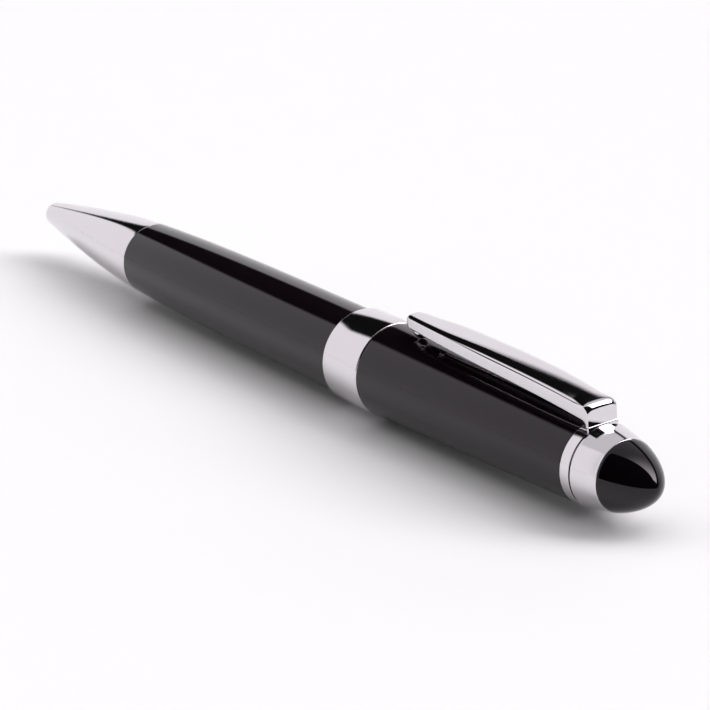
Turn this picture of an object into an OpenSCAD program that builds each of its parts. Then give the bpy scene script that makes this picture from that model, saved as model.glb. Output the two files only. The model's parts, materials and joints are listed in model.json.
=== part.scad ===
// Twist-action retractable ballpoint pen.
// The pen lies along X with its writing end towards -X and its clip on top (+Z).
// A station is a distance along the pen from the end of the nose.
// The origin lies on the table, under the middle of the pen.

/* [Outside lengths] */
// Chrome nose cone
nose_length = 29; // [28:0.1:31]
// Black lower barrel
lower_barrel_length = 51.4; // [50:0.1:54]
// Chrome centre band
band_length = 7.3; // [7:0.1:9]
// Black upper barrel
upper_barrel_length = 38.8; // [38:0.1:41]
// Chrome ring between the upper barrel and the clip washer
clip_ring_length = 1.5; // [1.3:0.1:2]
// Chrome band that carries the dome, with the hairline gap in front of it
finial_band_length = 3.9; // [3.8:0.1:4.5]
// Black dome at the rear end
dome_length = 5.4; // [5:0.1:6]

/* [Outside diameters] */
// Centre band, the widest part of the body
band_d = 12; // [11.8:0.05:12.4]
// Lower barrel where it meets the centre band
lower_rear_d = 11.04; // [10.9:0.02:11.4]
// Nose cone and lower barrel where they meet
nose_joint_d = 9.84; // [9.7:0.02:10.2]
// Blunt end of the nose cone
nose_end_d = 3.2; // [3.1:0.05:3.6]
// Upper barrel where it meets the centre band
upper_front_d = 11.78; // [11.6:0.02:11.9]
// Upper barrel where it meets the clip ring
upper_rear_d = 10; // [9.9:0.02:10.4]

/* [Clip] */
// Distance from the centre band to the tip of the clip
clip_tip_gap = 4; // [3.5:0.1:5]
// Height of the clip's top over the pen's axis, at the head
clip_head_height = 7.6; // [7.4:0.05:8.2]
// Height of the clip's top over the pen's axis, near the tip
clip_tip_height = 8.6; // [8.4:0.05:9]
// Width of the clip at its head
clip_head_w = 4.1; // [3.8:0.05:4.6]
// Width of the clip near its tip
clip_tip_w = 2.3; // [2.2:0.05:3]
// How much the arm is wider halfway than a straight taper
clip_belly = 1.5; // [1:0.1:1.8]
// Depth of the folded arm from its top to its lower edges, at the head
clip_depth = 1.9; // [1.7:0.05:2.1]
// Depth of the folded arm at its tip
clip_tip_depth = 1.4; // [1.2:0.05:1.5]
// Thickness of the clip's sheet metal
clip_sheet = 0.45; // [0.4:0.01:0.5]

/* [Refill and mechanism] */
// Overall length of the refill
refill_length = 98; // [97:0.1:99]
// Body of the refill
refill_d = 5.9; // [5.8:0.02:5.96]
// Shank of the refill's writing tip
tip_shank_d = 2.3; // [2.2:0.02:2.36]
// Ball in the writing tip
ball_d = 1; // [0.7:0.1:1]
// How far the ball sits inside the nose when retracted
retracted_depth = 2.2; // [2:0.1:2.4]
// Travel of the refill between retracted and extended
travel = 5; // [4.6:0.1:5]
// Turn of the lower half that gives the whole travel
twist_angle = 180; // [150:5:180]
// Pin that follows the helical slots
follower_pin_d = 1; // [0.9:0.05:1]

/* [Hidden] */
// Smoothness of round parts
$fn = 72;
// Running clearance between sliding or turning faces
clearance = 0.05;
// Overrun of cutters past the faces they cut
overrun = 1;

// Stations of the outside joints
lower_start = nose_length;
band_start = lower_start + lower_barrel_length;
upper_start = band_start + band_length;
ring_start = upper_start + upper_barrel_length;
hairline_start = ring_start + clip_ring_length;
dome_start = hairline_start + finial_band_length;
pen_length = dome_start + dome_length;
finial_length = pen_length - ring_start;

// How strongly the nose, the lower barrel and the finial curve
nose_power = 1.45;
lower_power = 3.5;
finial_power = 1.16;
upper_bulge = 0.03;

// Common inner diameters
refill_guide_d = 6.1;
barrel_bore_d = 9;
upper_bore_d = 8.8;
drum_d = 7.4;
housing_bore_d = drum_d + 2 * clearance;

// Nose interior
nose_bore_d = 2.5;
spring_seat = 7;
spring_bore_d = 4.1;
spring_bore_length = 3.6;
nose_funnel_length = 2;
nose_spigot = 5;

// Refill, measured from its ball
tip_cone_length = 2.8;
tip_length = 12;
neck_clearance = 0.3;
neck_start = spring_seat + neck_clearance + travel - retracted_depth;
neck_d = 3;
cone_start = 12.6;
body_start = 15.5;
refill_wall = 0.35;
ink_length = 62;
plug_collar = 1.5;
plug_depth = 5;

// Return spring
spring_wire_d = 0.35;
spring_mean_d = 3.5;
spring_turns = 6;
spring_end = retracted_depth + cone_start + 0.25;

// Twist mechanism
connector_start = band_start - 13;
drum_start = band_start - 4.5;
neck_land_d = 9.4;
neck_core_d = 8.2;
band_bore_d = 9.6;
ring_groove_d = 10.2;
ring_groove_from = band_start + 3.4;
ring_groove_to = ring_groove_from + 0.75;
o_ring_section_d = 0.64;
o_ring_station = band_start + 1.25;
flange_length = 0.9;
flange_end = band_start + 5.1;
housing_start = flange_end + 0.45;
plunger_start = retracted_depth + refill_length;
plunger_length = 8;
pin_station = plunger_start + 4;
drum_end = pin_station + 7;
housing_end = drum_end + 5;
slot_margin = follower_pin_d / 2 + clearance;
spigot_length = 4;

// Clip
sheet_gap = 0.05;
washer_d = 9.1;
washer_sheet = 0.25;
clip_arch = 0.75;
clip_foot_height = 5.05;
clip_tip_station = upper_start + clip_tip_gap;
clip_rear_station = hairline_start + washer_sheet;

// Finial: screw, the hole it passes through and the cup that holds the dome
screw_d = 3;
screw_hole_d = 3.2;
screw_head_d = 5.2;
screw_head_length = 1.2;
cup_d = 6.4;
cup_floor = clip_rear_station + 0.8;
plug_length = 7;

// Outer radius of the nose, the barrels and the finial at a station
function nose_r(s) =
    nose_joint_d / 2 - (nose_joint_d - nose_end_d) / 2 * pow(1 - s / nose_length, nose_power);
function lower_r(s) = let (t = (s - lower_start) / lower_barrel_length)
    lower_rear_d / 2 - (lower_rear_d - nose_joint_d) / 2 * pow(1 - t, lower_power);
function upper_r(s) = let (t = (s - upper_start) / upper_barrel_length)
    upper_front_d / 2 + (upper_rear_d - upper_front_d) / 2 * t + 4 * upper_bulge * t * (1 - t);
function finial_r(s) = let (u = (s - ring_start) / finial_length)
    upper_rear_d / 2 * pow(max(0, 1 - u * u), finial_power / 2);

// Places its children with their Z along the pen, and their zero at the end of the nose
module along_pen() {
    translate([-pen_length / 2, 0, band_d / 2])
        rotate([0, 90, 0])
            children();
}

// A cylinder between two stations
module rod(from, to, d) {
    translate([0, 0, from])
        cylinder(d = d, h = to - from);
}

// A plain tube between two stations
module tube(from, to, outer_d, inner_d) {
    difference() {
        rod(from, to, outer_d);
        rod(from - overrun, to + overrun, inner_d);
    }
}

// A turned solid whose outer face follows a list of [radius, station] points
module turned(outer) {
    rotate_extrude()
        polygon(concat([[0, outer[0][1]]], outer, [[0, outer[len(outer) - 1][1]]]));
}

// Chrome nose cone: a rounded lip, a bore for the tip, a step for the spring and a spigot at the rear
module nose_cone() {
    lip = 0.35;
    steps = 24;
    funnel_start = spring_seat + spring_bore_length;
    lip_arc = [for (a = [0:15:75]) [nose_r(lip) - lip + lip * sin(a), lip - lip * cos(a)]];
    cone = [for (i = [0:steps]) let (s = lip + (nose_length - lip) * i / steps) [nose_r(s), s]];
    shoulder = [[barrel_bore_d / 2, nose_length], [barrel_bore_d / 2, nose_length + nose_spigot]];
    color("gainsboro")
        along_pen()
            difference() {
                turned(concat(lip_arc, cone, shoulder));
                rod(-overrun, spring_seat + overrun, nose_bore_d);
                rod(spring_seat, funnel_start + clearance, spring_bore_d);
                translate([0, 0, funnel_start])
                    cylinder(d1 = spring_bore_d, d2 = refill_guide_d, h = nose_funnel_length);
                rod(funnel_start + nose_funnel_length, nose_length + nose_spigot + overrun, refill_guide_d);
            }
}

// Black lacquered brass tube of the lower half
module lower_barrel() {
    steps = 26;
    first = lower_start;
    last = band_start - clearance;
    skin = [for (i = [0:steps]) let (s = first + (last - first) * i / steps) [lower_r(s), s]];
    color([0.04, 0.035, 0.04])
        along_pen()
            difference() {
                turned(skin);
                rod(first - overrun, last + overrun, barrel_bore_d);
            }
}

// Plastic liner that keeps the refill on the axis
module lower_liner() {
    color("dimgray")
        along_pen()
            tube(nose_length + nose_spigot + 1, connector_start - 1, barrel_bore_d, refill_guide_d);
}

// Brass connector: screws into the lower barrel and turns inside the centre band
module threaded_connector() {
    thread_pitch = 0.8;
    thread_depth = 0.25;
    groove_w = 0.9;
    land_end = band_start + 2.6;
    color("goldenrod")
        along_pen()
            difference() {
                union() {
                    rod(connector_start, band_start, barrel_bore_d);
                    rod(band_start - clearance, land_end, neck_land_d);
                    rod(land_end - clearance, flange_end, neck_core_d);
                    rod(flange_end - flange_length, flange_end, neck_land_d);
                }
                for (s = [connector_start + 1:thread_pitch:band_start - 4])
                    tube(s, s + thread_pitch / 2, barrel_bore_d + overrun, barrel_bore_d - 2 * thread_depth);
                tube(o_ring_station - groove_w / 2, o_ring_station + groove_w / 2, neck_land_d + overrun,
                    neck_core_d);
                rod(connector_start - overrun, drum_start + overrun, refill_guide_d);
                rod(drum_start, flange_end + overrun, drum_d);
            }
}

// Rubber ring that gives the twist its drag
module friction_o_ring() {
    color("black")
        along_pen()
            translate([0, 0, o_ring_station])
                rotate_extrude()
                    translate([(neck_core_d + o_ring_section_d) / 2, 0])
                        circle(d = o_ring_section_d, $fn = 24);
}

// Helical slot cutter: a bar across the axis that turns as it runs back
module helical_cutter() {
    bar_w = 2.7;
    slot_from = pin_station - travel - slot_margin;
    slot_height = travel + 2 * slot_margin;
    sweep = twist_angle * slot_height / travel;
    start_angle = 90 + twist_angle + twist_angle * slot_margin / travel;
    translate([0, 0, slot_from])
        rotate([0, 0, start_angle])
            linear_extrude(height = slot_height, twist = sweep, slices = 48, $fn = 12)
                square([drum_d + 2 * overrun, bar_w], center = true);
}

// Tube with two helical slots; it turns with the lower half
module cam_drum() {
    color("silver")
        along_pen()
            difference() {
                tube(drum_start, drum_end, drum_d, refill_guide_d);
                helical_cutter();
            }
}

// Compression spring: a wire swept along a helix, with close turns at both ends
module return_spring() {
    sides = 6;
    turn_steps = 20;
    rings = spring_turns * turn_steps;
    wire_r = spring_wire_d / 2;
    rest_length = spring_end - spring_seat - spring_wire_d;
    dead = 0.75 * turn_steps;
    active = rings - 2 * dead;
    lift = spring_wire_d / turn_steps;
    slope = (rest_length - 2 * dead * lift) / active;
    function rise(i) = i < dead ? i * lift
        : i > rings - dead ? rest_length - (rings - i) * lift
        : dead * lift + (i - dead) * slope;
    points = [for (i = [0:rings]) let (a = 360 * i / turn_steps, z = rise(i))
        for (k = [0:sides - 1]) let (b = 360 * k / sides, r = spring_mean_d / 2 + wire_r * cos(b))
            [r * cos(a), r * sin(a), spring_seat + wire_r + z + wire_r * sin(b)]];
    first_end = [[for (k = [0:sides - 1]) k]];
    last_end = [[for (k = [0:sides - 1]) rings * sides + sides - 1 - k]];
    skin = [for (i = [0:rings - 1]) for (k = [0:sides - 1]) let (n = (k + 1) % sides, p = i * sides)
        [p + k, p + sides + k, p + sides + n, p + n]];
    color("lightsteelblue")
        along_pen()
            polyhedron(points = points, faces = concat(first_end, skin, last_end), convexity = 6);
}

// Chrome centre band with a spigot for the upper barrel and a bore for the connector
module centre_band() {
    edge = 0.3;
    spigot_end = upper_start + spigot_length;
    skin = [[band_d / 2 - edge, band_start], [band_d / 2, band_start + edge],
        [band_d / 2, upper_start - edge], [band_d / 2 - edge / 2, upper_start],
        [band_bore_d / 2, upper_start], [band_bore_d / 2, spigot_end]];
    color("gainsboro")
        along_pen()
            difference() {
                turned(skin);
                rod(band_start - overrun, housing_start, band_bore_d);
                rod(housing_start - overrun, spigot_end + overrun, upper_bore_d);
                rod(ring_groove_from, ring_groove_to, ring_groove_d);
            }
}

// Split steel ring in the band's groove: it holds the connector's flange
module retaining_ring() {
    gap_w = 2;
    color("silver")
        along_pen()
            difference() {
                tube(ring_groove_from, ring_groove_to, ring_groove_d, neck_core_d + 2 * clearance);
                translate([0, -gap_w / 2, band_start])
                    cube([band_d, gap_w, band_length]);
            }
}

// Nylon washer between the flange and the mechanism housing
module thrust_washer() {
    color("ivory")
        along_pen()
            tube(flange_end + clearance, housing_start, band_bore_d, drum_d + 0.2);
}

// Fixed tube with two straight slots that keep the follower pin from turning
module mechanism_housing() {
    color("goldenrod")
        along_pen()
            difference() {
                tube(housing_start, housing_end, upper_bore_d, housing_bore_d);
                translate([-slot_margin, -band_d / 2, pin_station - travel - slot_margin])
                    cube([2 * slot_margin, band_d, travel + 2 * slot_margin]);
            }
}

// Plug that closes the rear of the mechanism housing
module mechanism_end_cap() {
    color("dimgray")
        along_pen() {
            rod(drum_end + 1, housing_end, housing_bore_d);
            rod(housing_end, housing_end + 1, upper_bore_d);
        }
}

// Black lacquered brass tube of the upper half
module upper_barrel() {
    steps = 20;
    skin = [for (i = [0:steps]) let (s = upper_start + upper_barrel_length * i / steps) [upper_r(s), s]];
    color([0.04, 0.035, 0.04])
        along_pen()
            difference() {
                turned(skin);
                rod(upper_start - overrun, upper_start + spigot_length, band_bore_d);
                rod(upper_start, ring_start + overrun, upper_bore_d);
            }
}

// Brass plug fixed in the upper barrel, tapped for the finial screw
module top_plug() {
    color("goldenrod")
        along_pen()
            tube(ring_start - plug_length, ring_start, upper_bore_d, screw_d);
}

// Chrome ring on the end of the upper barrel
module clip_ring() {
    skin = [for (s = [ring_start, (ring_start + hairline_start) / 2, hairline_start]) [finial_r(s), s]];
    color("gainsboro")
        along_pen()
            difference() {
                turned(skin);
                rod(ring_start - overrun, hairline_start + overrun, screw_hole_d);
            }
}

// Spring-steel washer that anchors the clip, with the tongue that the clip bends from
module clip_washer() {
    color("silver")
        along_pen()
            difference() {
                union() {
                    rod(hairline_start, clip_rear_station, washer_d);
                    translate([-(clip_foot_height - sheet_gap), -clip_head_w / 2, hairline_start])
                        cube([clip_foot_height - sheet_gap, clip_head_w, washer_sheet]);
                }
                rod(hairline_start - overrun, hairline_start + overrun, screw_hole_d);
            }
}

// Height of the clip's top over the axis, from its tip at t = 0 to its head at t = 1
function clip_top(t) =
    clip_tip_height + clip_arch * t + (clip_head_height - clip_tip_height - clip_arch) * pow(t, 3.4);

// Half width of the leaf-shaped arm
function clip_half_w(t) =
    (clip_tip_w + (clip_head_w - clip_tip_w) * t + 4 * clip_belly * t * (1 - t)) / 2;

// Depth of the folded arm, which grows quickly behind its tip
function clip_arm_depth(t) = clip_tip_depth + (clip_depth - clip_tip_depth) * (1 - pow(1 - t, 2.2));

// Side view of the arm as [station, height], lowered and shortened by an inset
module clip_side(inset) {
    steps = 16;
    length = clip_rear_station - clip_tip_station;
    tip_r = clip_tip_depth / 2;
    nose_arc = [for (a = [-80:20:60])
        [clip_tip_station + tip_r - tip_r * cos(a) + inset,
            clip_tip_height - tip_r + tip_r * sin(a) - inset]];
    top = [for (i = [1:steps]) let (t = i / steps)
        [clip_tip_station + length * t - inset, clip_top(t) - inset]];
    under = [for (i = [0:steps - 1]) let (t = 1 - i / steps)
        [clip_tip_station + length * t - inset, clip_top(t) - clip_arm_depth(t) - inset]];
    polygon(concat(nose_arc, top, under));
}

// Plan view of the arm as [station, sideways], with a round tip
module clip_plan(inset) {
    steps = 16;
    length = clip_rear_station - clip_tip_station;
    tip_r = clip_tip_w / 2;
    side = [for (i = [1:steps]) let (t = i / steps)
        [clip_tip_station + length * t - inset, clip_half_w(t) - inset]];
    back = [for (i = [0:steps - 1]) [side[steps - 1 - i][0], -side[steps - 1 - i][1]]];
    arc = [for (a = [100:20:260])
        [clip_tip_station + tip_r + (tip_r - inset) * cos(a), -(tip_r - inset) * sin(a)]];
    polygon(concat(side, back, arc));
}

// The solid that both outlines share
module clip_envelope(inset) {
    intersection() {
        rotate([90, 0, 0])
            translate([0, 0, -clip_head_w])
                linear_extrude(height = 2 * clip_head_w)
                    clip_side(inset);
        linear_extrude(height = band_d)
            clip_plan(inset);
    }
}

// Folded spring-steel clip: arm open underneath, back plate down to the washer, bead under the tip
module clip() {
    bead_d = 2;
    bead_station = clip_tip_station + 2;
    bead_gap = 0.06;
    bead_base = upper_r(bead_station) + bead_gap;
    color("gainsboro")
        translate([-pen_length / 2, 0, band_d / 2]) {
            difference() {
                clip_envelope(0);
                clip_envelope(clip_sheet);
            }
            translate([clip_rear_station - clip_sheet, -clip_head_w / 2, clip_foot_height])
                cube([clip_sheet, clip_head_w, clip_head_height - clip_foot_height - clip_sheet / 2]);
            translate([bead_station, 0, bead_base + bead_d / 2])
                sphere(d = bead_d, $fn = 32);
            translate([bead_station, 0, bead_base + bead_d / 2])
                cylinder(d = bead_d, h = clip_tip_height - clip_sheet - bead_base - bead_d / 2, $fn = 32);
        }
}

// Chrome cup behind the clip washer; the dome is glued in it
module finial_band() {
    steps = 6;
    first = clip_rear_station;
    skin = [for (i = [0:steps]) let (s = first + (dome_start - first) * i / steps) [finial_r(s), s]];
    color("gainsboro")
        along_pen()
            difference() {
                turned(skin);
                rod(first - overrun, first + overrun, screw_hole_d);
                rod(cup_floor, dome_start + overrun, cup_d);
            }
}

// Steel screw that clamps the finial band, the washer and the ring to the top plug
module finial_screw() {
    driver_slot_w = 0.5;
    driver_slot_depth = 0.5;
    head_end = cup_floor + screw_head_length;
    color("silver")
        along_pen()
            difference() {
                union() {
                    rod(ring_start - plug_length + overrun, cup_floor, screw_d);
                    rod(cup_floor, head_end, screw_head_d);
                }
                translate([-driver_slot_w / 2, -band_d / 2, head_end - driver_slot_depth])
                    cube([driver_slot_w, band_d, overrun]);
            }
}

// Black dome with a spigot that sits in the finial band
module finial_dome() {
    first_angle = asin((dome_start - ring_start) / finial_length);
    steps = 14;
    spigot = 1.2;
    skin = [for (i = [0:steps - 1]) let (a = first_angle + (90 - first_angle) * i / steps)
        [upper_rear_d / 2 * pow(cos(a), finial_power), ring_start + finial_length * sin(a)]];
    color([0.02, 0.02, 0.02])
        along_pen()
            turned(concat([[cup_d / 2, dome_start - spigot], [cup_d / 2, dome_start]], skin,
                [[0, pen_length]]));
}

// Writing tip: cone, shank and ink channel, with a socket for the ball
module refill_tip() {
    color("khaki")
        along_pen()
            translate([0, 0, retracted_depth])
                difference() {
                    turned([[ball_d / 2 - 0.02, ball_d * 0.3], [tip_shank_d / 2, tip_cone_length],
                        [tip_shank_d / 2, tip_length]]);
                    translate([0, 0, ball_d / 2])
                        sphere(d = ball_d + 0.02, $fn = 32);
                    rod(ball_d / 2, tip_length + overrun, 0.6);
                }
}

// Ball that rolls the ink out
module refill_ball() {
    color("gray")
        along_pen()
            translate([0, 0, retracted_depth + ball_d / 2])
                sphere(d = ball_d, $fn = 32);
}

// Metal tube of the refill, necked down round the tip
module refill_tube() {
    color("lightgray")
        along_pen()
            translate([0, 0, retracted_depth])
                difference() {
                    turned([[neck_d / 2, neck_start], [neck_d / 2, cone_start], [refill_d / 2, body_start],
                        [refill_d / 2, refill_length - plug_collar]]);
                    rod(neck_start - overrun, body_start, tip_shank_d);
                    rod(body_start - 0.2, refill_length, refill_d - 2 * refill_wall);
                }
}

// Ink in the refill's tube
module ink_column() {
    color("navy")
        along_pen()
            rod(retracted_depth + body_start - 0.2, retracted_depth + body_start + ink_length,
                refill_d - 2 * refill_wall);
}

// Vented plastic plug in the rear of the refill
module refill_end_plug() {
    vent_d = 1;
    rear = retracted_depth + refill_length;
    color("royalblue")
        along_pen()
            difference() {
                union() {
                    rod(rear - plug_collar - plug_depth, rear - plug_collar, refill_d - 2 * refill_wall);
                    rod(rear - plug_collar, rear, refill_d);
                }
                rod(rear - plug_collar - plug_depth - overrun, rear + overrun, vent_d);
            }
}

// Plunger that pushes the refill, cross-drilled for the follower pin
module plunger() {
    color("ivory")
        along_pen()
            difference() {
                rod(plunger_start, plunger_start + plunger_length, refill_guide_d - 2 * clearance);
                translate([0, band_d / 2, pin_station])
                    rotate([90, 0, 0])
                        cylinder(d = follower_pin_d, h = band_d, $fn = 32);
            }
}

// Steel cross pin: it rides in the helical slots and in the straight slots
module follower_pin() {
    pin_length = upper_bore_d - 0.3;
    color("silver")
        along_pen()
            translate([0, pin_length / 2, pin_station])
                rotate([90, 0, 0])
                    cylinder(d = follower_pin_d, h = pin_length, $fn = 32);
}

nose_cone();
lower_barrel();
lower_liner();
threaded_connector();
cam_drum();
friction_o_ring();
return_spring();
centre_band();
retaining_ring();
thrust_washer();
mechanism_housing();
mechanism_end_cap();
upper_barrel();
top_plug();
clip_ring();
clip_washer();
clip();
finial_band();
finial_screw();
finial_dome();
refill_tip();
refill_ball();
refill_tube();
ink_column();
refill_end_plug();
plunger();
follower_pin();
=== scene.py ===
"""Looks of a twist-action ballpoint pen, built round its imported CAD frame.

The pen lies along X with its writing end towards -X and its clip on top. Every size is in metres.
"""

import json
import math

import bmesh
import bpy
from mathutils import Matrix, Vector


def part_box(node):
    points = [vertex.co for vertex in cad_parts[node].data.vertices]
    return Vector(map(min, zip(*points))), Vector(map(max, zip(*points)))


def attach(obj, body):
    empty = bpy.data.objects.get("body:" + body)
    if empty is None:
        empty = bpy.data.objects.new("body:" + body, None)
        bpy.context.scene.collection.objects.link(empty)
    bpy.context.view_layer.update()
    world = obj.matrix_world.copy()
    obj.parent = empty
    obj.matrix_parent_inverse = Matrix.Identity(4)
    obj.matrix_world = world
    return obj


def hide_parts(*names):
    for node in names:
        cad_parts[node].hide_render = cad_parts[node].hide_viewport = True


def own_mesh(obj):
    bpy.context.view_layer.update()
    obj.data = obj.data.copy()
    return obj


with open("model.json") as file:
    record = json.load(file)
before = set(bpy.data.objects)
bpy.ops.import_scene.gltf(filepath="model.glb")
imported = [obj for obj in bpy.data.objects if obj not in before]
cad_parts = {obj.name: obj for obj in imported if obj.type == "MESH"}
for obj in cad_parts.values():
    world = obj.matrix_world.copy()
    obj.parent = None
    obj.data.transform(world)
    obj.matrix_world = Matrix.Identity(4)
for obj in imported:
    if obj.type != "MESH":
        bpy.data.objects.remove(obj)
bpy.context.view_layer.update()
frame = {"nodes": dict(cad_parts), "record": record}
MM = 0.001

# ---------------------------------------------------------------- places and sizes, from the frame
AXIS_Z = (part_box("centre_band")[0].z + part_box("centre_band")[1].z) / 2


def span(node):
    """Front and rear end of a node along the pen."""
    low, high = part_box(node)
    return low.x, high.x


def radius(node):
    """Largest radius of a round node."""
    low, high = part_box(node)
    return (high.y - low.y) / 2


NOSE_X = span("nose_cone")[0]
LOWER_X, LOWER_END = span("lower_barrel")
BAND_X = span("centre_band")[0]
UPPER_X, RING_X = span("upper_barrel")
HAIR_X = span("clip_ring")[1]
CUP_X, DOME_X = span("finial_band")
END_X = span("finial_dome")[1]
BAND_R = radius("centre_band")
LOWER_REAR_R = radius("lower_barrel")
JOINT_R = radius("nose_cone")
UPPER_FRONT_R = radius("upper_barrel")
RING_R = radius("clip_ring")

# ---------------------------------------------------------------- radii inside the pen
BARREL_BORE_R = 4.5 * MM
BAND_BORE_R = 4.8 * MM
SPIGOT_BORE_R = 4.4 * MM
RING_GROOVE_R = 5.1 * MM
SCREW_BORE_R = 1.6 * MM
JEWEL_SPIGOT_R = 3.2 * MM

# ---------------------------------------------------------------- shape of the outside curves
NOSE_END_R = 1.6 * MM
NOSE_POWER = 1.45
LOWER_POWER = 3.5
FINIAL_POWER = 1.16
UPPER_BULGE = 0.03 * MM
SEGMENTS = 192


def nose_r(x):
    """Outer radius of the nose cone."""
    t = (x - NOSE_X) / (LOWER_X - NOSE_X)
    return JOINT_R - (JOINT_R - NOSE_END_R) * (1 - t) ** NOSE_POWER


def lower_r(x):
    """Outer radius of the lower barrel."""
    t = (x - LOWER_X) / (LOWER_END - LOWER_X)
    return LOWER_REAR_R - (LOWER_REAR_R - JOINT_R) * max(0.0, 1 - t) ** LOWER_POWER


def upper_r(x):
    """Outer radius of the upper barrel, which bulges slightly."""
    t = (x - UPPER_X) / (RING_X - UPPER_X)
    return UPPER_FRONT_R + (RING_R - UPPER_FRONT_R) * t + 4 * UPPER_BULGE * t * (1 - t)


def finial_r(x):
    """Outer radius of the curve that the clip ring, cup and dome share."""
    u = (x - RING_X) / (END_X - RING_X)
    return RING_R * max(0.0, 1 - u * u) ** (FINIAL_POWER / 2)


# ---------------------------------------------------------------- mesh helpers
def finish_mesh(name, bm, smooth_angle=35):
    """Turns a bmesh into a shaded object."""
    bmesh.ops.recalc_face_normals(bm, faces=bm.faces)
    mesh = bpy.data.meshes.new(name)
    bm.to_mesh(mesh)
    bm.free()
    mesh.shade_smooth()
    mesh.set_sharp_from_angle(angle=math.radians(smooth_angle))
    piece = bpy.data.objects.new(name, mesh)
    bpy.context.scene.collection.objects.link(piece)
    return piece


def turned(name, outline, segments=SEGMENTS):
    """A closed solid of revolution about the pen's axis. The outline is a closed loop of (x, radius)."""
    bm = bmesh.new()
    rings = []
    for x, r in outline:
        if r < 1e-7:
            rings.append([bm.verts.new((x, 0, AXIS_Z))])
            continue
        ring = []
        for k in range(segments):
            a = 2 * math.pi * k / segments
            ring.append(bm.verts.new((x, r * math.sin(a), AXIS_Z + r * math.cos(a))))
        rings.append(ring)
    for i, ring in enumerate(rings):
        after = rings[(i + 1) % len(rings)]
        if len(ring) == 1 and len(after) == 1:
            continue
        for k in range(segments):
            n = (k + 1) % segments
            corners = [ring[k % len(ring)], ring[n % len(ring)], after[n % len(after)], after[k % len(after)]]
            unique = list(dict.fromkeys(corners))
            bm.faces.new(unique)
    return finish_mesh(name, bm)


def arc(x, r, size, start, stop, steps=5):
    """Points of a circular arc about (x, r); 0 degrees points along +X and 90 outwards."""
    points = []
    for i in range(steps + 1):
        a = math.radians(start + (stop - start) * i / steps)
        points.append((x + size * math.cos(a), r + size * math.sin(a)))
    return points


def skin(first, last, radius_at, front_round, rear_round, steps):
    """Outer outline from first to last with rounded edges that follow a radius function."""
    points = []
    if front_round:
        points += arc(first + front_round, radius_at(first + front_round) - front_round, front_round, 180, 95)
    a = first + front_round
    b = last - rear_round
    points += [(a + (b - a) * i / steps, radius_at(a + (b - a) * i / steps)) for i in range(steps + 1)]
    if rear_round:
        points += arc(b, radius_at(b) - rear_round, rear_round, 85, 0)
    return points


def bored(outline, bore):
    """Closes an outer outline with a plain bore."""
    return outline + [(outline[-1][0], bore), (outline[0][0], bore)]


# ---------------------------------------------------------------- materials
def material(name):
    """An empty node material and its principled shader."""
    m = bpy.data.materials.new(name)
    m.use_nodes = True
    shader = m.node_tree.nodes["Principled BSDF"]
    return m, shader


def node(m, kind, **values):
    """A node with its sockets or properties set by name."""
    n = m.node_tree.nodes.new(kind)
    for key, value in values.items():
        if key in n.inputs:
            n.inputs[key].default_value = value
        else:
            setattr(n, key, value)
    return n


def link(m, source, output, target, socket):
    """Joins two nodes of a material."""
    m.node_tree.links.new(source.outputs[output], target.inputs[socket])


def coordinates(m, scale):
    """Object coordinates stretched by a scale for each axis."""
    where = node(m, "ShaderNodeTexCoord")
    mapping = node(m, "ShaderNodeMapping")
    mapping.inputs["Scale"].default_value = scale
    link(m, where, "Object", mapping, "Vector")
    return mapping


def noise(m, scale, detail=3.0, roughness=0.5, stretch=(1, 1, 1)):
    """Noise over the object coordinates, stretched by axis."""
    n = node(m, "ShaderNodeTexNoise", Scale=scale, Detail=detail, Roughness=roughness)
    link(m, coordinates(m, stretch), "Vector", n, "Vector")
    return n


def spread(m, source, low, high, from_low=0.3, from_high=0.7):
    """Maps a noise value to a range."""
    n = node(m, "ShaderNodeMapRange")
    n.inputs["From Min"].default_value = from_low
    n.inputs["From Max"].default_value = from_high
    n.inputs["To Min"].default_value = low
    n.inputs["To Max"].default_value = high
    link(m, source, 0, n, "Value")
    return n


def tint(m, source, dark, light):
    """A colour that drifts between two tones with a noise."""
    n = node(m, "ShaderNodeMix", data_type="RGBA")
    n.inputs[6].default_value = (*dark, 1)
    n.inputs[7].default_value = (*light, 1)
    link(m, source, 0, n, 0)
    return n


def bump(m, shader, source, strength, distance):
    """Relief from a noise, on the shader's normal."""
    n = node(m, "ShaderNodeBump", Strength=strength, Distance=distance)
    link(m, source, 0, n, "Height")
    link(m, n, "Normal", shader, "Normal")


def chrome():
    """Bright chrome plate: polishing lines round the part, faint handling haze."""
    m, shader = material("chrome_plate")
    base = (0.72, 0.695, 0.72)
    haze = noise(m, 320, 4, 0.6)
    lines = noise(m, 900, 2, 0.5, (60, 1, 1))
    shader.inputs["Metallic"].default_value = 1
    colour = tint(m, haze, [c * 0.965 for c in base], base)
    link(m, colour, 2, shader, "Base Color")
    link(m, spread(m, haze, 0.035, 0.075), 0, shader, "Roughness")
    bump(m, shader, lines, 0.05, 0.02 * MM)
    return m


def lacquer(name, base, light, orange_peel=0.03):
    """Deep black lacquer: clear coat, slight orange peel, hairline handling haze."""
    m, shader = material(name)
    cloud = noise(m, 240, 4, 0.55)
    peel = noise(m, 1400, 2, 0.5)
    link(m, tint(m, cloud, base, light), 2, shader, "Base Color")
    link(m, spread(m, cloud, 0.03, 0.07), 0, shader, "Roughness")
    shader.inputs["IOR"].default_value = 1.42
    shader.inputs["Specular Tint"].default_value = (1.0, 0.93, 0.98, 1)
    bump(m, shader, peel, orange_peel, 0.01 * MM)
    return m


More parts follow.
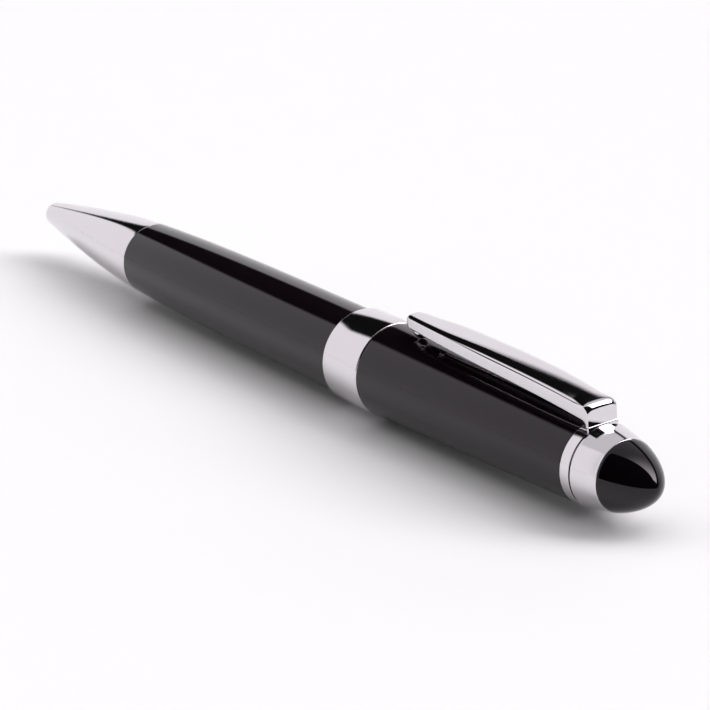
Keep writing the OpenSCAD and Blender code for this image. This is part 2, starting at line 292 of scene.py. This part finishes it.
def metal(name, base, low, high, stretch, roughness=(0.22, 0.36)):
    """Bare turned or drawn metal with tool marks."""
    m, shader = material(name)
    marks = noise(m, 1500, 3, 0.6, stretch)
    shader.inputs["Metallic"].default_value = 1
    link(m, tint(m, marks, [c * low for c in base], [c * high for c in base]), 2, shader, "Base Color")
    link(m, spread(m, marks, *roughness), 0, shader, "Roughness")
    bump(m, shader, marks, 0.15, 0.02 * MM)
    return m


def plastic(name, base, roughness=(0.32, 0.48)):
    """Moulded plastic with a fine spark-eroded grain."""
    m, shader = material(name)
    grain = noise(m, 4200, 3, 0.6)
    cloud = noise(m, 300, 2, 0.5)
    link(m, tint(m, cloud, [c * 0.9 for c in base], base), 2, shader, "Base Color")
    link(m, spread(m, grain, *roughness), 0, shader, "Roughness")
    bump(m, shader, grain, 0.12, 0.02 * MM)
    return m


CHROME = chrome()
BLACK = lacquer("black_lacquer", (0.004, 0.002, 0.0035), (0.0065, 0.004, 0.006))
JET = lacquer("black_resin", (0.0015, 0.001, 0.0015), (0.003, 0.002, 0.003), 0.02)
BRASS = metal("turned_brass", (0.80, 0.58, 0.28), 0.86, 1.0, (40, 1, 1))
STEEL = metal("drawn_steel", (0.62, 0.61, 0.60), 0.85, 1.0, (1, 30, 30))
RUBBER = plastic("black_rubber", (0.025, 0.024, 0.026), (0.6, 0.8))
DARK = plastic("dark_nylon", (0.05, 0.05, 0.055))
IVORY = plastic("white_acetal", (0.80, 0.79, 0.74))
BLUE = plastic("blue_polypropylene", (0.04, 0.11, 0.42))
INK = lacquer("paste_ink", (0.006, 0.012, 0.10), (0.01, 0.02, 0.16), 0.2)


def dress(piece, finish, body, slot, *nodes):
    """Gives a piece its material and body and hides the CAD nodes that it stands for; the slot argument is not
    used.
    """
    piece.data.materials.clear()
    piece.data.materials.append(finish)
    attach(piece, body)
    if nodes:
        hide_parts(*nodes)
    return piece


# ---------------------------------------------------------------- turned outside pieces
EDGE = 0.08 * MM
SEAM_EDGE = 0.06 * MM
HAIR_EDGE = 0.02 * MM


def nose_cone():
    """Cone with a rounded end, a stepped bore and a spigot that enters the lower barrel."""
    bore = 1.25 * MM
    wide_bore = 2.05 * MM
    guide = 3.05 * MM
    lip = 0.38 * MM
    mouth = 0.15 * MM
    seat = NOSE_X + 7 * MM
    wide_end = seat + 3.6 * MM
    guide_start = seat + 5.6 * MM
    outline = arc(NOSE_X + lip, nose_r(NOSE_X + lip) - lip, lip, 180, 100, 8)
    steps = 60
    first = NOSE_X + lip
    last = LOWER_X - EDGE
    outline += [(first + (last - first) * i / steps, nose_r(first + (last - first) * i / steps))
                for i in range(1, steps + 1)]
    outline += arc(last, nose_r(last) - EDGE, EDGE, 80, 0)
    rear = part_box("nose_cone")[1].x
    outline += [(LOWER_X, BARREL_BORE_R), (rear - EDGE, BARREL_BORE_R), (rear, BARREL_BORE_R - EDGE),
                (rear, guide)]
    outline += [(guide_start, guide), (wide_end, wide_bore), (seat, wide_bore), (seat, bore)]
    outline += [(NOSE_X + mouth, bore), (NOSE_X, bore + mouth)]
    return dress(turned("nose_shell", outline), CHROME, "lower", "chrome", "nose_cone")


def lower_barrel():
    """Lacquered tube between the nose and the centre band."""
    outline = skin(LOWER_X, LOWER_END, lower_r, EDGE, EDGE, 70)
    piece = turned("lower_barrel_tube", bored(outline, BARREL_BORE_R))
    return dress(piece, BLACK, "lower", "black_lacquer", "lower_barrel")


def centre_band():
    """Plain ring with a sleeve that enters the upper barrel and a groove for the retaining ring."""
    edge = 0.12 * MM
    first = BAND_X
    last = UPPER_X
    outline = arc(first + edge, BAND_R - edge, edge, 180, 90)
    outline += arc(last - edge, BAND_R - edge, edge, 90, 0)
    outline.append((last, BAND_BORE_R))
    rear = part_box("centre_band")[1].x
    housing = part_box("mechanism_housing")[0].x
    ring_front, ring_rear = span("retaining_ring")
    outline += [(rear, BAND_BORE_R), (rear, SPIGOT_BORE_R), (housing, SPIGOT_BORE_R), (housing, BAND_BORE_R)]
    outline += [(ring_rear, BAND_BORE_R), (ring_rear, RING_GROOVE_R), (ring_front, RING_GROOVE_R),
                (ring_front, BAND_BORE_R)]
    outline += [(first, BAND_BORE_R)]
    return dress(turned("centre_band_ring", outline), CHROME, "upper", "chrome", "centre_band")


def upper_barrel():
    """Lacquered tube between the centre band and the clip ring."""
    outline = skin(UPPER_X, RING_X, upper_r, EDGE, EDGE, 50)
    spigot_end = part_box("centre_band")[1].x
    outline += [(RING_X, SPIGOT_BORE_R), (spigot_end, SPIGOT_BORE_R), (spigot_end, BAND_BORE_R),
                (UPPER_X, BAND_BORE_R)]
    return dress(turned("upper_barrel_tube", outline), BLACK, "upper", "black_lacquer", "upper_barrel")


def clip_ring():
    """Narrow ring in front of the hairline joint."""
    outline = skin(RING_X, HAIR_X, finial_r, SEAM_EDGE, HAIR_EDGE, 6)
    return dress(turned("clip_ring_turned", bored(outline, SCREW_BORE_R)), CHROME, "upper", "chrome", "clip_ring")


def finial_band():
    """Cup behind the hairline joint, which holds the dome."""
    front_r = finial_r(CUP_X)
    rear_r = finial_r(DOME_X)

    def cone_r(x):
        t = (x - CUP_X) / (DOME_X - CUP_X)
        return front_r + (rear_r - front_r) * t + 0.12 * MM * t * (1 - t)

    outline = skin(CUP_X, DOME_X, cone_r, HAIR_EDGE, SEAM_EDGE, 16)
    floor = CUP_X + 0.8 * MM
    outline += [(DOME_X, JEWEL_SPIGOT_R), (floor, JEWEL_SPIGOT_R), (floor, SCREW_BORE_R), (CUP_X, SCREW_BORE_R)]
    return dress(turned("finial_cup", outline), CHROME, "upper", "chrome", "finial_band")


def finial_dome():
    """Polished dome on a spigot that sits in the cup."""
    steps = 40
    first = math.asin((DOME_X - RING_X) / (END_X - RING_X))
    step = 0.04 * MM
    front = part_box("finial_dome")[0].x
    chamfer = 0.1 * MM
    outline = [(front, 0), (front, 3.1 * MM), (front + chamfer, JEWEL_SPIGOT_R), (DOME_X, JEWEL_SPIGOT_R)]
    outline += [(DOME_X + 0.02 * MM, finial_r(DOME_X) - step)]
    for i in range(1, steps + 1):
        a = first + (math.pi / 2 - first) * i / steps
        outline.append((RING_X + (END_X - RING_X) * math.sin(a), RING_R * max(0.0, math.cos(a)) ** FINIAL_POWER))
    outline[-1] = (END_X, 0)
    return dress(turned("finial_jewel", outline), JET, "upper", "black_gloss", "finial_dome")


# ---------------------------------------------------------------- clip
SHEET = 0.45 * MM
CLIP_TIP_X = span("clip")[0]
CLIP_REAR_X = span("clip")[1]
CLIP_FOOT_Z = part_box("clip_washer")[1].z + 0.05 * MM
CLIP_TIP_Z = AXIS_Z + 8.6 * MM
CLIP_HEAD_Z = AXIS_Z + 7.6 * MM
CLIP_ARCH = 0.75 * MM
CLIP_HEAD_W = 2.05 * MM
CLIP_TIP_W = 1.15 * MM
CLIP_BELLY = 3.0 * MM
CLIP_DROP_POWER = 3.4
CLIP_LENGTH = CLIP_REAR_X - CLIP_TIP_X
FLANGE_TIP = 1.4 * MM
FLANGE_GROWTH = 0.5 * MM
FLANGE_HEAD = 1.9 * MM
BEND_R = 0.9 * MM
# How far the section leans from level, in degrees, beside the middle and at the end of the shoulder.
CROWN_LEAN = 4
SHOULDER_LEAN = 34


def smoothstep(t):
    """Eases from 0 to 1 as t does."""
    t = min(1.0, max(0.0, t))
    return t * t * (3 - 2 * t)


def blend(a, b, t):
    """Goes straight from a to b as t goes from 0 to 1."""
    return a + (b - a) * t


def clip_top(t):
    """Height of the clip's crown, with t from 0 at the tip to 1 at the head."""
    fall = CLIP_TIP_Z + CLIP_ARCH - CLIP_HEAD_Z
    return CLIP_TIP_Z + CLIP_ARCH * t - fall * t ** CLIP_DROP_POWER


def clip_path():
    """Stations of the sheet's outer face: (x, z, how much its crown counts, how far it has turned down)."""
    stations = []
    last = CLIP_REAR_X - BEND_R
    steps = 150
    for i in range(steps + 1):
        share = (i / steps) ** 1.35
        x = CLIP_TIP_X + (last - CLIP_TIP_X) * share
        stations.append((x, clip_top((x - CLIP_TIP_X) / CLIP_LENGTH), 1.0, 0.0))
    x, z = stations[-1][:2]
    t = (x - CLIP_TIP_X) / CLIP_LENGTH
    fall = CLIP_TIP_Z + CLIP_ARCH - CLIP_HEAD_Z
    slope = (CLIP_ARCH - CLIP_DROP_POWER * fall * t ** (CLIP_DROP_POWER - 1)) / CLIP_LENGTH
    normal = math.pi / 2 + math.atan(slope)
    cx = x - BEND_R * math.cos(normal)
    cz = z - BEND_R * math.sin(normal)
    turn = 24
    for i in range(1, turn + 1):
        a = normal * (1 - i / turn)
        stations.append((cx + BEND_R * math.cos(a), cz + BEND_R * math.sin(a), 1.0, i / turn))
    x, z = stations[-1][:2]
    down = 14
    for i in range(1, down + 1):
        stations.append((x, z + (CLIP_FOOT_Z - z) * i / down, 1 - i / down, 1 + i / down))
    return stations


def clip_section(x, turned_down):
    """Half of the folded section as (across, crown drop, fold drop) points, from the middle outwards."""
    t = min(1.0, (x - CLIP_TIP_X) / CLIP_LENGTH)
    half = blend(CLIP_TIP_W, CLIP_HEAD_W, t) + CLIP_BELLY * t * (1 - t)
    grown = smoothstep(t / 0.65)
    head = smoothstep((x - (CLIP_REAR_X - 3.0 * MM)) / (2.4 * MM))
    shoulder = blend(blend(0.62, 0.98, grown), 0.8, head) * MM
    shown = smoothstep((t - 0.2) / 0.3) * (1 - head)
    lip = max(0.12 * shown, 0.004) * MM
    hollow = max(0.20 * shown, 0.004) * MM
    fold = blend(blend(0.12, 0.36, grown), 0.15, head) * MM
    lip_lean = blend(35, 42, shown)
    hollow_lean = blend(35, 28, shown)
    fold_lean = blend(hollow_lean, 3, min(1.0, turned_down))
    # Each run: its length, its lean from level at both ends, its number of steps, and if it is the fold.
    runs = [(shoulder, CROWN_LEAN, SHOULDER_LEAN, 10, False), (lip, SHOULDER_LEAN, lip_lean, 3, False),
            (hollow, lip_lean, hollow_lean, 4, False), (fold, fold_lean, 90, 9, True)]
    points = [(0.0, 0.0, 0.0)]
    for length, lean, next_lean, steps, is_fold in runs:
        for i in range(steps):
            a = math.radians(blend(lean, next_lean, (i + 0.5) / steps))
            y, crown, folded = points[-1]
            step = length / steps
            if is_fold:
                points.append((y + math.cos(a) * step, crown, folded + math.sin(a) * step))
            else:
                points.append((y + math.cos(a) * step, crown + math.sin(a) * step, 0.0))
    flat = half - points[-1][0]
    flat_steps = 8
    row = []
    for i in range(flat_steps):
        y = flat * i / flat_steps
        row.append((y, 0.5 * math.radians(CROWN_LEAN) * y * y / flat, 0.0))
    sag = 0.5 * math.radians(CROWN_LEAN) * flat
    row += [(flat + y, sag + crown, folded) for y, crown, folded in points]
    start = x - CLIP_TIP_X
    if start < CLIP_TIP_W:
        narrow = max(0.01, math.sqrt(max(0.0, 1 - (1 - start / CLIP_TIP_W) ** 2)))
        row = [(y * narrow, crown, folded) for y, crown, folded in row]
    return row


def flange_edge(x, top, turned_down):
    """Place (x, z) of the flange's lower edge: it sweeps down at the head into the back plate's edge."""
    reach = 1.1 * MM
    inner_x = CLIP_REAR_X - SHEET
    corner_x = inner_x - reach
    corner_z = CLIP_FOOT_Z + 0.15 * MM
    t = (x - CLIP_TIP_X) / CLIP_LENGTH
    depth = FLANGE_TIP + FLANGE_GROWTH * (1 - (1 - min(1.0, t)) ** 2.2)
    if turned_down > 1:
        return inner_x, corner_z + (CLIP_FOOT_Z - corner_z) * (turned_down - 1)
    if turned_down == 0 and x <= corner_x:
        return x, top - depth
    corner_top = clip_top((corner_x - CLIP_TIP_X) / CLIP_LENGTH)
    rise = corner_top - FLANGE_HEAD - corner_z
    start = math.asin((CLIP_REAR_X - BEND_R - corner_x) / reach)
    a = start + (math.pi / 2 - start) * turned_down if turned_down else math.asin((x - corner_x) / reach)
    return corner_x + reach * math.sin(a), corner_z + rise * math.cos(a)


def clip():
    """Folded sheet-metal clip: a skin swept from the tip to the foot, thickened inwards."""
    bm = bmesh.new()
    rows = []
    tip_round = 0.7 * MM
    flange_steps = 6
    for x, top, count, turned_down in clip_path():
        z = top
        start = x - CLIP_TIP_X
        if start < tip_round:
            z -= tip_round * (1 - math.sqrt(max(0.0, 1 - (1 - start / tip_round) ** 2)))
        a = math.pi / 2 * (1 - min(1.0, turned_down))
        inward = Vector((-math.cos(a), 0, -math.sin(a)))
        half_row = [Vector((x, y, z - crown * count)) + inward * folded
                    for y, crown, folded in clip_section(x, turned_down)]
        edge_x, edge_z = flange_edge(x, top, turned_down)
        side = half_row[-1]
        edge = Vector((edge_x, side.y, min(edge_z, side.z - 0.02 * MM)))
        half_row += [side.lerp(edge, i / flange_steps) for i in range(1, flange_steps + 1)]
        row = [Vector((p.x, -p.y, p.z)) for p in half_row[:0:-1]] + half_row
        rows.append([bm.verts.new(p) for p in row])
    for a, b in zip(rows, rows[1:]):
        for k in range(len(a) - 1):
            bm.faces.new((a[k], a[k + 1], b[k + 1], b[k]))
    piece = finish_mesh("pocket_clip", bm, 40)
    thick = piece.modifiers.new("sheet", "SOLIDIFY")
    thick.thickness = SHEET
    thick.offset = -1
    thick.use_even_offset = False
    rim = piece.modifiers.new("rim", "BEVEL")
    rim.width = 0.05 * MM
    rim.segments = 2
    rim.limit_method = "ANGLE"
    rim.angle_limit = math.radians(50)
    return dress(piece, CHROME, "clip", "chrome", "clip")


def clip_bead():
    """Bead under the clip's tip that presses on the barrel."""
    bead_r = 1.0 * MM
    x = CLIP_TIP_X + 2 * MM
    low = AXIS_Z + upper_r(x) + 0.06 * MM
    bm = bmesh.new()
    bmesh.ops.create_uvsphere(bm, u_segments=48, v_segments=24, radius=bead_r)
    for v in bm.verts:
        v.co.z = v.co.z + bead_r if v.co.z < 0 else bead_r + v.co.z * 1.2
    bmesh.ops.translate(bm, verts=bm.verts, vec=(x, 0, low))
    return dress(finish_mesh("clip_bead", bm), CHROME, "clip", "chrome")


# ---------------------------------------------------------------- inner pieces that are rebuilt finer
def return_spring():
    """Compression spring with closed ends."""
    wire = 0.175 * MM
    mean = 1.75 * MM
    low, high = span("return_spring")
    end_gap = 0.2 * MM
    turns = 7
    steps = 48
    sides = 12
    dead = 1.0
    length = high - end_gap - low - 2 * wire
    pitch_dead = 2 * wire * 1.02
    live = (length - 2 * dead * pitch_dead) / (turns - 2 * dead)
    bm = bmesh.new()
    rings = []
    for i in range(turns * steps + 1):
        n = i / steps
        rise = min(n, dead) * pitch_dead + max(0.0, min(n, turns - dead) - dead) * live
        rise += max(0.0, n - (turns - dead)) * pitch_dead
        a = 2 * math.pi * n
        ring = []
        for k in range(sides):
            b = 2 * math.pi * k / sides
            r = mean + wire * math.cos(b)
            x = low + wire + rise + wire * math.sin(b)
            ring.append(bm.verts.new((x, r * math.sin(a), AXIS_Z + r * math.cos(a))))
        rings.append(ring)
    for a, b in zip(rings, rings[1:]):
        for k in range(sides):
            n = (k + 1) % sides
            bm.faces.new((a[k], a[n], b[n], b[k]))
    bm.faces.new(rings[0][::-1])
    bm.faces.new(rings[-1])
    piece = finish_mesh("coil_spring", bm, 60)
    dress(piece, STEEL, "lower", "steel", "return_spring")
    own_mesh(piece)


FINISHES = {"chrome": CHROME, "black_lacquer": BLACK, "black_gloss": JET, "brass": BRASS, "steel": STEEL,
            "rubber": RUBBER, "dark_plastic": DARK, "white_plastic": IVORY, "blue_plastic": BLUE, "ink": INK}


def dress_cad_nodes():
    """The CAD nodes that stay get their record slot's material."""
    for part in frame["record"]["subparts"]:
        obj = frame["nodes"][part["node"]]
        obj.data.materials.clear()
        obj.data.materials.append(FINISHES[part["material_slot"]])


# ---------------------------------------------------------------- stage, light and camera
def floor():
    """Plain pale floor."""
    bm = bmesh.new()
    bmesh.ops.create_grid(bm, x_segments=2, y_segments=2, size=4.0)
    plane = finish_mesh("studio_floor", bm)
    m, shader = material("pale_floor")
    cloud = noise(m, 3, 2, 0.5)
    link(m, tint(m, cloud, (0.915, 0.92, 0.915), (0.93, 0.935, 0.93)), 2, shader, "Base Color")
    shader.inputs["Roughness"].default_value = 0.9
    shader.inputs["Specular IOR Level"].default_value = 0.1
    plane.data.materials.append(m)


SOFTBOX_BASE = 0.72
SOFTBOX_RISE = 9.0
TENT_GLOW = 0.006


def surround():
    """Light tent: a near panel beside the nose, a far one that fades to the rear, a graded softbox overhead."""
    world = bpy.data.worlds.new("tent")
    bpy.context.scene.world = world
    world.use_nodes = True
    tree = world.node_tree
    background = tree.nodes["Background"]

    def ramp(source, dark_at, bright_at):
        """Eases from 0 to 1 as the source goes from dark_at to bright_at."""
        n = tree.nodes.new("ShaderNodeMapRange")
        n.interpolation_type = "SMOOTHSTEP"
        n.inputs["From Min"].default_value = dark_at
        n.inputs["From Max"].default_value = bright_at
        tree.links.new(source, n.inputs["Value"])
        return n.outputs[0]

    def combine(operation, a, b):
        """A math node on two values or sockets."""
        n = tree.nodes.new("ShaderNodeMath")
        n.operation = operation
        for socket, value in zip(n.inputs, (a, b)):
            if isinstance(value, float):
                socket.default_value = value
            else:
                tree.links.new(value, socket)
        return n.outputs[0]

    where = tree.nodes.new("ShaderNodeTexCoord")
    split = tree.nodes.new("ShaderNodeSeparateXYZ")
    tree.links.new(where.outputs["Generated"], split.inputs[0])
    along, across, up = split.outputs
    # Angle about the pen, from overhead towards the near side.
    angle = combine("ARCTAN2", combine("MULTIPLY", across, -1.0), up)

    def turned_by(degrees):
        """The angle, skewed by so many degrees along the pen."""
        return combine("ADD", angle, combine("MULTIPLY", combine("ADD", along, 0.5), math.radians(degrees)))

    # The dark gap overhead closes towards the nose, and its far side runs slightly askew.
    closing = combine("MULTIPLY", ramp(along, -0.80, -0.97), math.radians(42))
    near = ramp(combine("ADD", angle, closing), math.radians(10), math.radians(19))
    askew = turned_by(16)
    skewed = turned_by(20)
    far_edge = combine("SUBTRACT", skewed, combine("MULTIPLY", closing, 0.3))
    far = ramp(far_edge, math.radians(-50), math.radians(-58))
    near = combine("MULTIPLY", near, ramp(along, -0.28, -0.42))
    far = combine("MULTIPLY", far, ramp(along, 0.75, 0.1))
    sides = combine("MAXIMUM", near, far)
    # The overhead softbox runs from above the nose to the rear, where it is narrowest and brightest.
    narrowing = turned_by(58)
    cover = combine("MULTIPLY", ramp(along, -0.60, -0.54), ramp(along, 0.74, 0.66))
    cover = combine("MULTIPLY", cover, ramp(askew, math.radians(-47), math.radians(-43)))
    cover = combine("MULTIPLY", cover, ramp(narrowing, math.radians(34), math.radians(31)))
    level = combine("ADD", combine("MULTIPLY", ramp(along, -0.1, 0.75), SOFTBOX_RISE), SOFTBOX_BASE)
    light = combine("ADD", combine("MULTIPLY", sides, combine("SUBTRACT", 1.0, cover)),
                    combine("MULTIPLY", cover, level))
    background.inputs["Color"].default_value = (1.0, 0.97, 1.0, 1)
    tree.links.new(combine("ADD", light, TENT_GLOW), background.inputs["Strength"])


def ceiling_light():
    """Broad overhead lamp that lifts the floor and stays out of the reflections."""
    data = bpy.data.lights.new("ceiling", "AREA")
    data.shape = "SQUARE"
    data.size = 1.6
    data.energy = 5.8
    data.color = (1.0, 0.98, 1.0)
    lamp = bpy.data.objects.new("ceiling", data)
    lamp.location = (0, 0, 1.2)
    lamp.visible_glossy = False
    bpy.context.scene.collection.objects.link(lamp)


def camera():
    """The photograph's viewing angle: from the rear, above and to the right of the pen."""
    azimuth = math.radians(57.74)
    elevation = math.radians(20.43)
    roll = math.radians(4.11)
    distance = 0.356
    aim = Vector((10.1 * MM, -0.14 * MM, 5.6 * MM))
    back = Vector((math.sin(azimuth) * math.cos(elevation), -math.cos(azimuth) * math.cos(elevation),
                   math.sin(elevation)))
    data = bpy.data.cameras.new("camera")
    data.sensor_width = 36
    data.lens = 146.1
    data.clip_start = 0.01
    data.clip_end = 20
    cam = bpy.data.objects.new("camera", data)
    bpy.context.scene.collection.objects.link(cam)
    level = (-back).to_track_quat("-Z", "Y").to_matrix().to_4x4()
    cam.matrix_world = Matrix.Translation(aim + back * distance) @ level @ Matrix.Rotation(-roll, 4, "Z")
    bpy.context.scene.camera = cam


bpy.context.scene.view_settings.view_transform = "Standard"
camera()
dress_cad_nodes()
nose_cone()
lower_barrel()
centre_band()
upper_barrel()
clip_ring()
finial_band()
finial_dome()
clip()
clip_bead()
return_spring()
floor()
surround()
ceiling_light()
